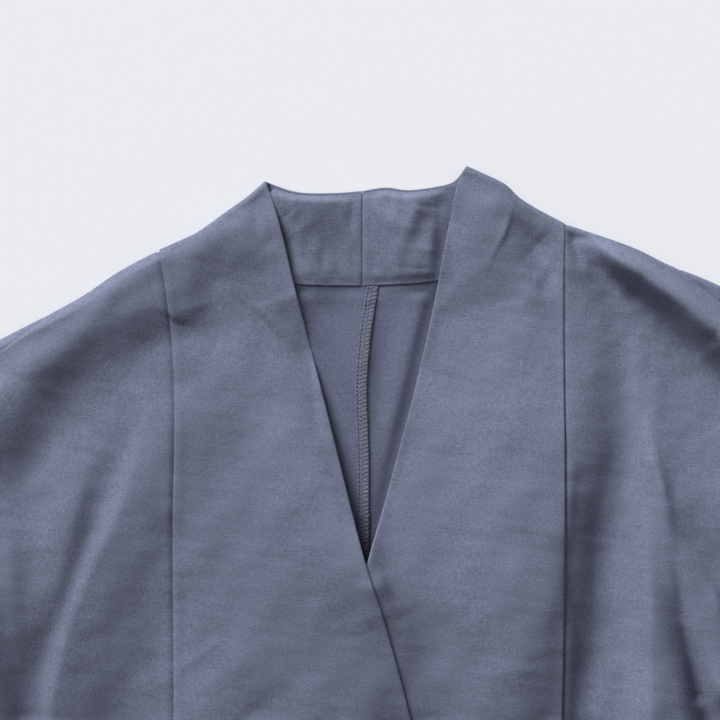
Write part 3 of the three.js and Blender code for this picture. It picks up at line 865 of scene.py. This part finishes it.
def side_front(half, material):
    """The side front, between the band seam and the armhole and side seams."""
    sign = half["sign"]
    width = HALF_CHEST - abs(half["band_seam"][-1][0])
    neck_point = stepped(half["collar_fold"][::-1], TUCKED_UNDER)
    inner = np.vstack([neck_point, half["band_seam"][1:] - (sign * TUCKED_UNDER, 0)])
    points = patch(
        path(np.vstack([neck_point, half["shoulder"][1:]])),
        between(inner[-1], half["front_side"][1]),
        path(inner),
        joined(half["armhole"], half["front_side"], ARMHOLE_SHARE),
        FRONT_ROWS,
        stations(width, [(width, 1.9)], EDGE_MARKS, OUTLINE_MARKS),
    )
    grid = raised(points, front_heights(points))
    places = points.reshape(-1, 2)
    grid = moved_up(grid, -tuck_dip(half, places, inner) - shoulder_groove(half, places))
    foot = straight(inner[-1], half["front_side"][1])
    edges = [inner, half["armhole"], half["front_side"], foot]
    thickness = thickness_of(grid, CLOTH, *edges, radius=CLOTH_ROUND)
    name = half["name"]
    made = shell(f"side_front_{name}_panel", grid, thickness, material)
    piece(
        made, f"side_front_{name}",
    )


# The backs' swells in the neck opening: beside the left front's edge, at the allowance, and beside the
# right front's edge
BACK_RELIEF = [
    ([(-46, -4), (-38, -30), (-30, -62), (-22, -90)], [4.6, 4.6, 2, 0], (14, 6)),
    ([(4, -12), (0.5, -45), (-0.5, -80), (1, -110), (1, -150)], [1.0, 3, 3, 2.4, 1], (8, 24)),
    ([(36.5, 0), (31.5, -20), (21.5, -62), (13.5, -95), (6, -130)], [2.2, 2.4, 2.2, 1.8, 0.8], (4, 10)),
]
BACK_UNEVEN = 0.5
UNEVEN_FROM_EDGE = 30
SWELL_FROM_SEAM = 2
SWELL_FADE = 7


def back_relief(places):
    """How high the backs' cloth lies over the floor's level."""
    ripple = np.maximum(ripples(places, 31, (50, 80)), 0)
    uneven = BACK_UNEVEN * ripple * turned(inset(places), UNEVEN_FROM_EDGE)
    seam_fade = ease((-SWELL_FROM_SEAM - places[:, 1]) / SWELL_FADE)
    swell = np.maximum(fold_rise(BACK_RELIEF, places), 0) * seam_fade
    return uneven + swell + fold_rise(SEAM_RELIEF, places)


NECK_SHARE = 0.42  # the neck seam's part of the back's upper edge
SHUT_GAP = 0.03  # what is left of the gap where the centre back seam is pressed shut, on each side


def back_panel(half, material):
    """Half of the back, from the centre back seam to the armhole and side seams."""
    sign = half["sign"]
    pressed_shut = sign * (SHUT_GAP - SEAM_GAP / 2)
    neck_line = np.vstack([half["neck_seam"][:-1] - (0, SEAM_GAP), half["neck_seam"][-1:]])
    neck_line[0, 0] += pressed_shut
    centre_foot = np.array([sign * SEAM_GAP / 2 + pressed_shut, -BACK_LENGTH])
    rows = stations(BACK_LENGTH, [(6, 0.6), (175, 2.2), (BACK_LENGTH, 7)])
    columns = stations(HALF_HEM, [(60, 1.8), (HALF_HEM, 6)], EDGE_MARKS, OUTLINE_MARKS)
    points = patch(
        joined(neck_line, half["shoulder"], NECK_SHARE),
        between(centre_foot, half["back_side"][1]),
        between(neck_line[0], centre_foot),
        joined(half["armhole"], half["back_side"], ARMHOLE_SHARE),
        rows,
        columns,
    )
    places = points.reshape(-1, 2)
    grid = raised(points, back_heights(points, CLOTH) + back_relief(places))
    foot = straight(centre_foot, half["back_side"][1])
    edges = [foot, half["armhole"], half["back_side"], neck_line, half["shoulder"]]
    thickness = thickness_of(grid, CLOTH, *edges, radius=CLOTH_ROUND)
    name = half["name"]
    made = shell(f"back_{name}_panel", grid, thickness, material)
    piece(made, f"back_{name}")


# How far the sleeve stands off the armhole at its ends, in gaps of a seam
GAPS_AT_ARM_TOP = 1.2
GAPS_AT_ARMPIT = 2.5


def sleeve(half, material):
    """A sleeve: one piece, folded along the top of the arm and seamed under it."""
    arm_top = stepped(half["overarm"], SEAM_GAP * GAPS_AT_ARM_TOP)
    armpit = stepped(half["underarm"], SEAM_GAP * GAPS_AT_ARMPIT)
    underarm = np.vstack([armpit, half["underarm"][1:]])
    rows = stations(SLEEVE_LENGTH, [(SLEEVE_LENGTH, 4)])
    stretches = [(12, 1.2), (CUFF_WIDTH - 12, 5), (CUFF_WIDTH, 1.2)]
    columns = stations(CUFF_WIDTH, stretches, OUTLINE_MARKS, OUTLINE_MARKS)
    points = patch(
        between(arm_top, armpit),
        path(half["cuff"]),
        between(arm_top, half["overarm"][1]),
        path(underarm),
        rows,
        columns,
    )
    upper = raised(points, front_heights(points))
    edge_height = np.where(np.arange(len(columns)) < len(columns) / 2, EDGE_HEIGHT, EDGE_HEIGHT - SEAM_GAP)
    edge_height = np.broadcast_to(edge_height, points.shape[:2]).reshape(-1)
    lower = raised(points, back_heights(points, CLOTH, edge_height))
    grid = np.hstack([lower[:, :0:-1], upper])
    thickness = thickness_of(grid, CLOTH, points[0], points[-1], radius=CLOTH_ROUND)
    name = half["name"]
    made = shell(f"sleeve_{name}_panel", grid, thickness, material)
    piece(made, f"sleeve_{name}")


# The centre back seam allowance's middle line
ALLOWANCE_LINE = catmull_rom(
    [
        (6.2, 0.2), (4.1, -13), (2, -26), (0.2, -44), (-0.6, -62), (0, -83), (0.6, -101), (0.6, -128),
        (0.6, -160), (-0.4, -240), (0.6, -400), (0, -630),
    ],
    500,
)
SERGED_WIDTH = 6.8
SERGED = 0.7  # its thickness
STANDS_UP = 0.7  # how far its edge to the viewer's right stands off the backs, away from the neck seam
STANDS_FROM_SEAM = 4
STANDS_FADE = 20
SEWN_LINE = -1.9  # from the middle to the line where the two layers are sewn
SEWN_DITCH = 0.3
SEWN_DITCH_WIDTH = 0.4


def allowance_middle(y):
    """Where the allowance's middle line is, this far down."""
    return np.interp(-y, -ALLOWANCE_LINE[:, 1], ALLOWANCE_LINE[:, 0])


def allowance_height(places):
    """Heights of the underside of the allowance, which stands up a little towards the viewer's right."""
    share = np.clip((places[:, 0] - allowance_middle(places[:, 1])) / SERGED_WIDTH + 0.5, 0, 1)
    stands = STANDS_UP * share**2 * ease((-STANDS_FROM_SEAM - places[:, 1]) / STANDS_FADE)
    return CLOTH + LAYER_GAP + back_relief(places) + stands


def seam_allowance(material, thread):
    """Both raw edges overlocked together, lying on the backs, with the thread's loops over them."""
    offsets = (stations(SERGED_WIDTH, [(SERGED_WIDTH, 0.4)]) - 0.5) * SERGED_WIDTH
    across = np.column_stack([offsets, np.zeros(len(offsets))])
    places = ALLOWANCE_LINE[:, None] + across[None]
    ditch = bump_along(offsets, SEWN_DITCH, SEWN_LINE, SEWN_DITCH_WIDTH)
    lie = allowance_height(places.reshape(-1, 2)).reshape(places.shape[:2]) + SERGED / 2
    grid = raised(places, lie - ditch[None])
    thickness = thickness_of(grid, SERGED, grid[:, 0, :2], grid[:, -1, :2], radius=SERGED_ROUND)
    made = shell("serged_allowance", grid, thickness, material)
    loops = overlock_loops(thread)
    for part in (made, loops):
        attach(part, "root")
    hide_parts("back_seam_allowance")
    return [made, loops]


# The looper threads of one stitch: where each starts and ends across the allowance, and how far it leans
LOOPS = [(3.2, 0.4, -1.5), (0.3, 3.1, -1.2), (-1.4, 0.6, 1.6), (-3.1, -2.2, 1.5)]
LOOP_POINTS = 14
FIRST_STITCH = -1.2
LAST_STITCH = -610
STITCH = 2.4  # from one to the next
LOOP_SAG = 0.5
LOOP_RISE = 0.12
LOOP_UNEVEN = 0.14
LOOP_UNEVEN_RISE = 0.05  # as a share of that
THREAD = 0.42
THREAD_END = 0.35  # of its thickness, at a loop's ends
THREAD_SWELL = 3
TUBE_SIDES = 5


def overlock_loops(material):
    """The looper threads: slanting loops from the edge to the sewn line and back, in each stitch."""
    down = np.repeat(np.arange(FIRST_STITCH, LAST_STITCH, -STITCH), len(LOOPS))[:, None]
    start, end, lean = np.tile(LOOPS, (len(down) // len(LOOPS), 1)).T[..., None]
    jitter = np.random.default_rng(5).normal(scale=LOOP_UNEVEN, size=(3, len(down), 1))
    t = np.linspace(0, 1, LOOP_POINTS)[None]
    bow = np.sin(np.pi * t)
    x = allowance_middle(down) + start + (end - start) * t + jitter[0]
    y = down + lean * t + jitter[1] - LOOP_SAG * bow
    under = allowance_height(np.column_stack([x.ravel(), y.ravel()])).reshape(x.shape)
    z = under + SERGED + LOOP_RISE * bow + LOOP_UNEVEN_RISE * jitter[2]
    routes = np.stack([x, y, z], axis=-1)
    vertices, faces = tubes(routes)
    return add_mesh("overlock_loops", vertices, faces, material)


def tubes(routes):
    """The vertices and faces of closed tubes of thread along these routes, thinner at both ends."""
    count, steps, _ = routes.shape
    ahead = np.gradient(routes, axis=1)
    ahead /= np.linalg.norm(ahead, axis=2, keepdims=True)
    side = np.cross(ahead, (0, 0, 1))
    side /= np.linalg.norm(side, axis=2, keepdims=True)
    over = np.cross(side, ahead)
    full = np.minimum(1, THREAD_END + THREAD_SWELL * np.sin(np.pi * np.linspace(0, 1, steps)))
    radius = THREAD / 2 * full
    angle = (np.arange(TUBE_SIDES) * 2 * np.pi / TUBE_SIDES)[:, None]
    ring = np.cos(angle) * side[:, :, None] + np.sin(angle) * over[:, :, None]
    vertices = (routes[:, :, None] + ring * radius[None, :, None, None]).reshape(-1, 3)
    corner = np.arange(count * steps * TUBE_SIDES).reshape(count, steps, TUBE_SIDES)
    after = np.roll(corner, -1, axis=2)
    quads = np.stack([corner[:, :-1], after[:, :-1], after[:, 1:], corner[:, 1:]], axis=-1).reshape(-1, 4)
    caps = [corner[:, 0, ::-1], corner[:, -1]]
    return vertices, quads.tolist() + np.vstack(caps).tolist()


# The view: straight down on the neck and shoulders, as far up as this in metres
CAMERA_HEIGHT = 1.5
LENS = 128.4
VIEW_MIDDLE = (-1.2, -42.9)
ROOM_PALE = (0.98, 0.99, 1.0)
ROOM_STRENGTH = 0.28
FLOOR_SIZE = 8
UNDER_CLOTH = 0.0004  # how far the floor lies under the cloth, in metres


def floor():
    bpy.ops.mesh.primitive_plane_add(size=FLOOR_SIZE, location=(0, 0, -UNDER_CLOTH))
    made = bpy.context.object
    made.name = "floor"
    made.data.materials.append(plain_material("pale_floor", FLOOR_PALE, 0.9))


def sun(name, azimuth, elevation, strength, spread):
    """A distant soft light that comes from this azimuth (0 is +X, 90 +Y) and elevation, in degrees."""
    data = bpy.data.lights.new(name, "SUN")
    data.energy = strength
    data.angle = math.radians(spread)
    made = bpy.data.objects.new(name, data)
    made.location = (0, 0, CAMERA_HEIGHT)
    made.rotation_euler = (math.radians(90 - elevation), 0, math.radians(azimuth + 90))
    bpy.context.scene.collection.objects.link(made)


def studio():
    """One soft light from the upper left, low over the cloth, and a pale room."""
    sun("key", azimuth=120, elevation=25, strength=5.35, spread=26)
    world = bpy.data.worlds.new("room")
    bpy.context.scene.world = world
    world.use_nodes = True
    background = world.node_tree.nodes["Background"]
    background.inputs["Color"].default_value = (*ROOM_PALE, 1)
    background.inputs["Strength"].default_value = ROOM_STRENGTH


def camera():
    data = bpy.data.cameras.new("camera")
    data.sensor_width = 36
    data.lens = LENS
    made = bpy.data.objects.new("camera", data)
    bpy.context.scene.collection.objects.link(made)
    x, y = (np.array(VIEW_MIDDLE) + ORIGIN[:2]) * MM
    made.location = (x, y, CAMERA_HEIGHT)
    bpy.context.scene.camera = made


def jacket():
    cloth = cloth_material("slate_cloth", SLATE)
    # Wrong-side cloth for the backs and the allowance; its darker colour is partly painted shade
    inside = cloth_material("slate_cloth_inside_and_shade", SLATE_INSIDE_AND_SHADE)
    allowance = seam_allowance(inside, cloth_material("serging_thread", THREAD_GREY))
    for half in HALVES:
        turn = half["sign"] * math.radians(half["sleeve_drop"])
        arm = cloth_material(f"sleeve_cloth_{half['name']}", SLATE, turn)
        back_panel(half, inside)
        front_band(half, cloth)
        neck_facing(half, cloth)
        side_front(half, cloth)
        sleeve(half, arm)


bpy.context.scene.view_settings.view_transform = "Standard"
floor()
studio()
camera()
jacket()
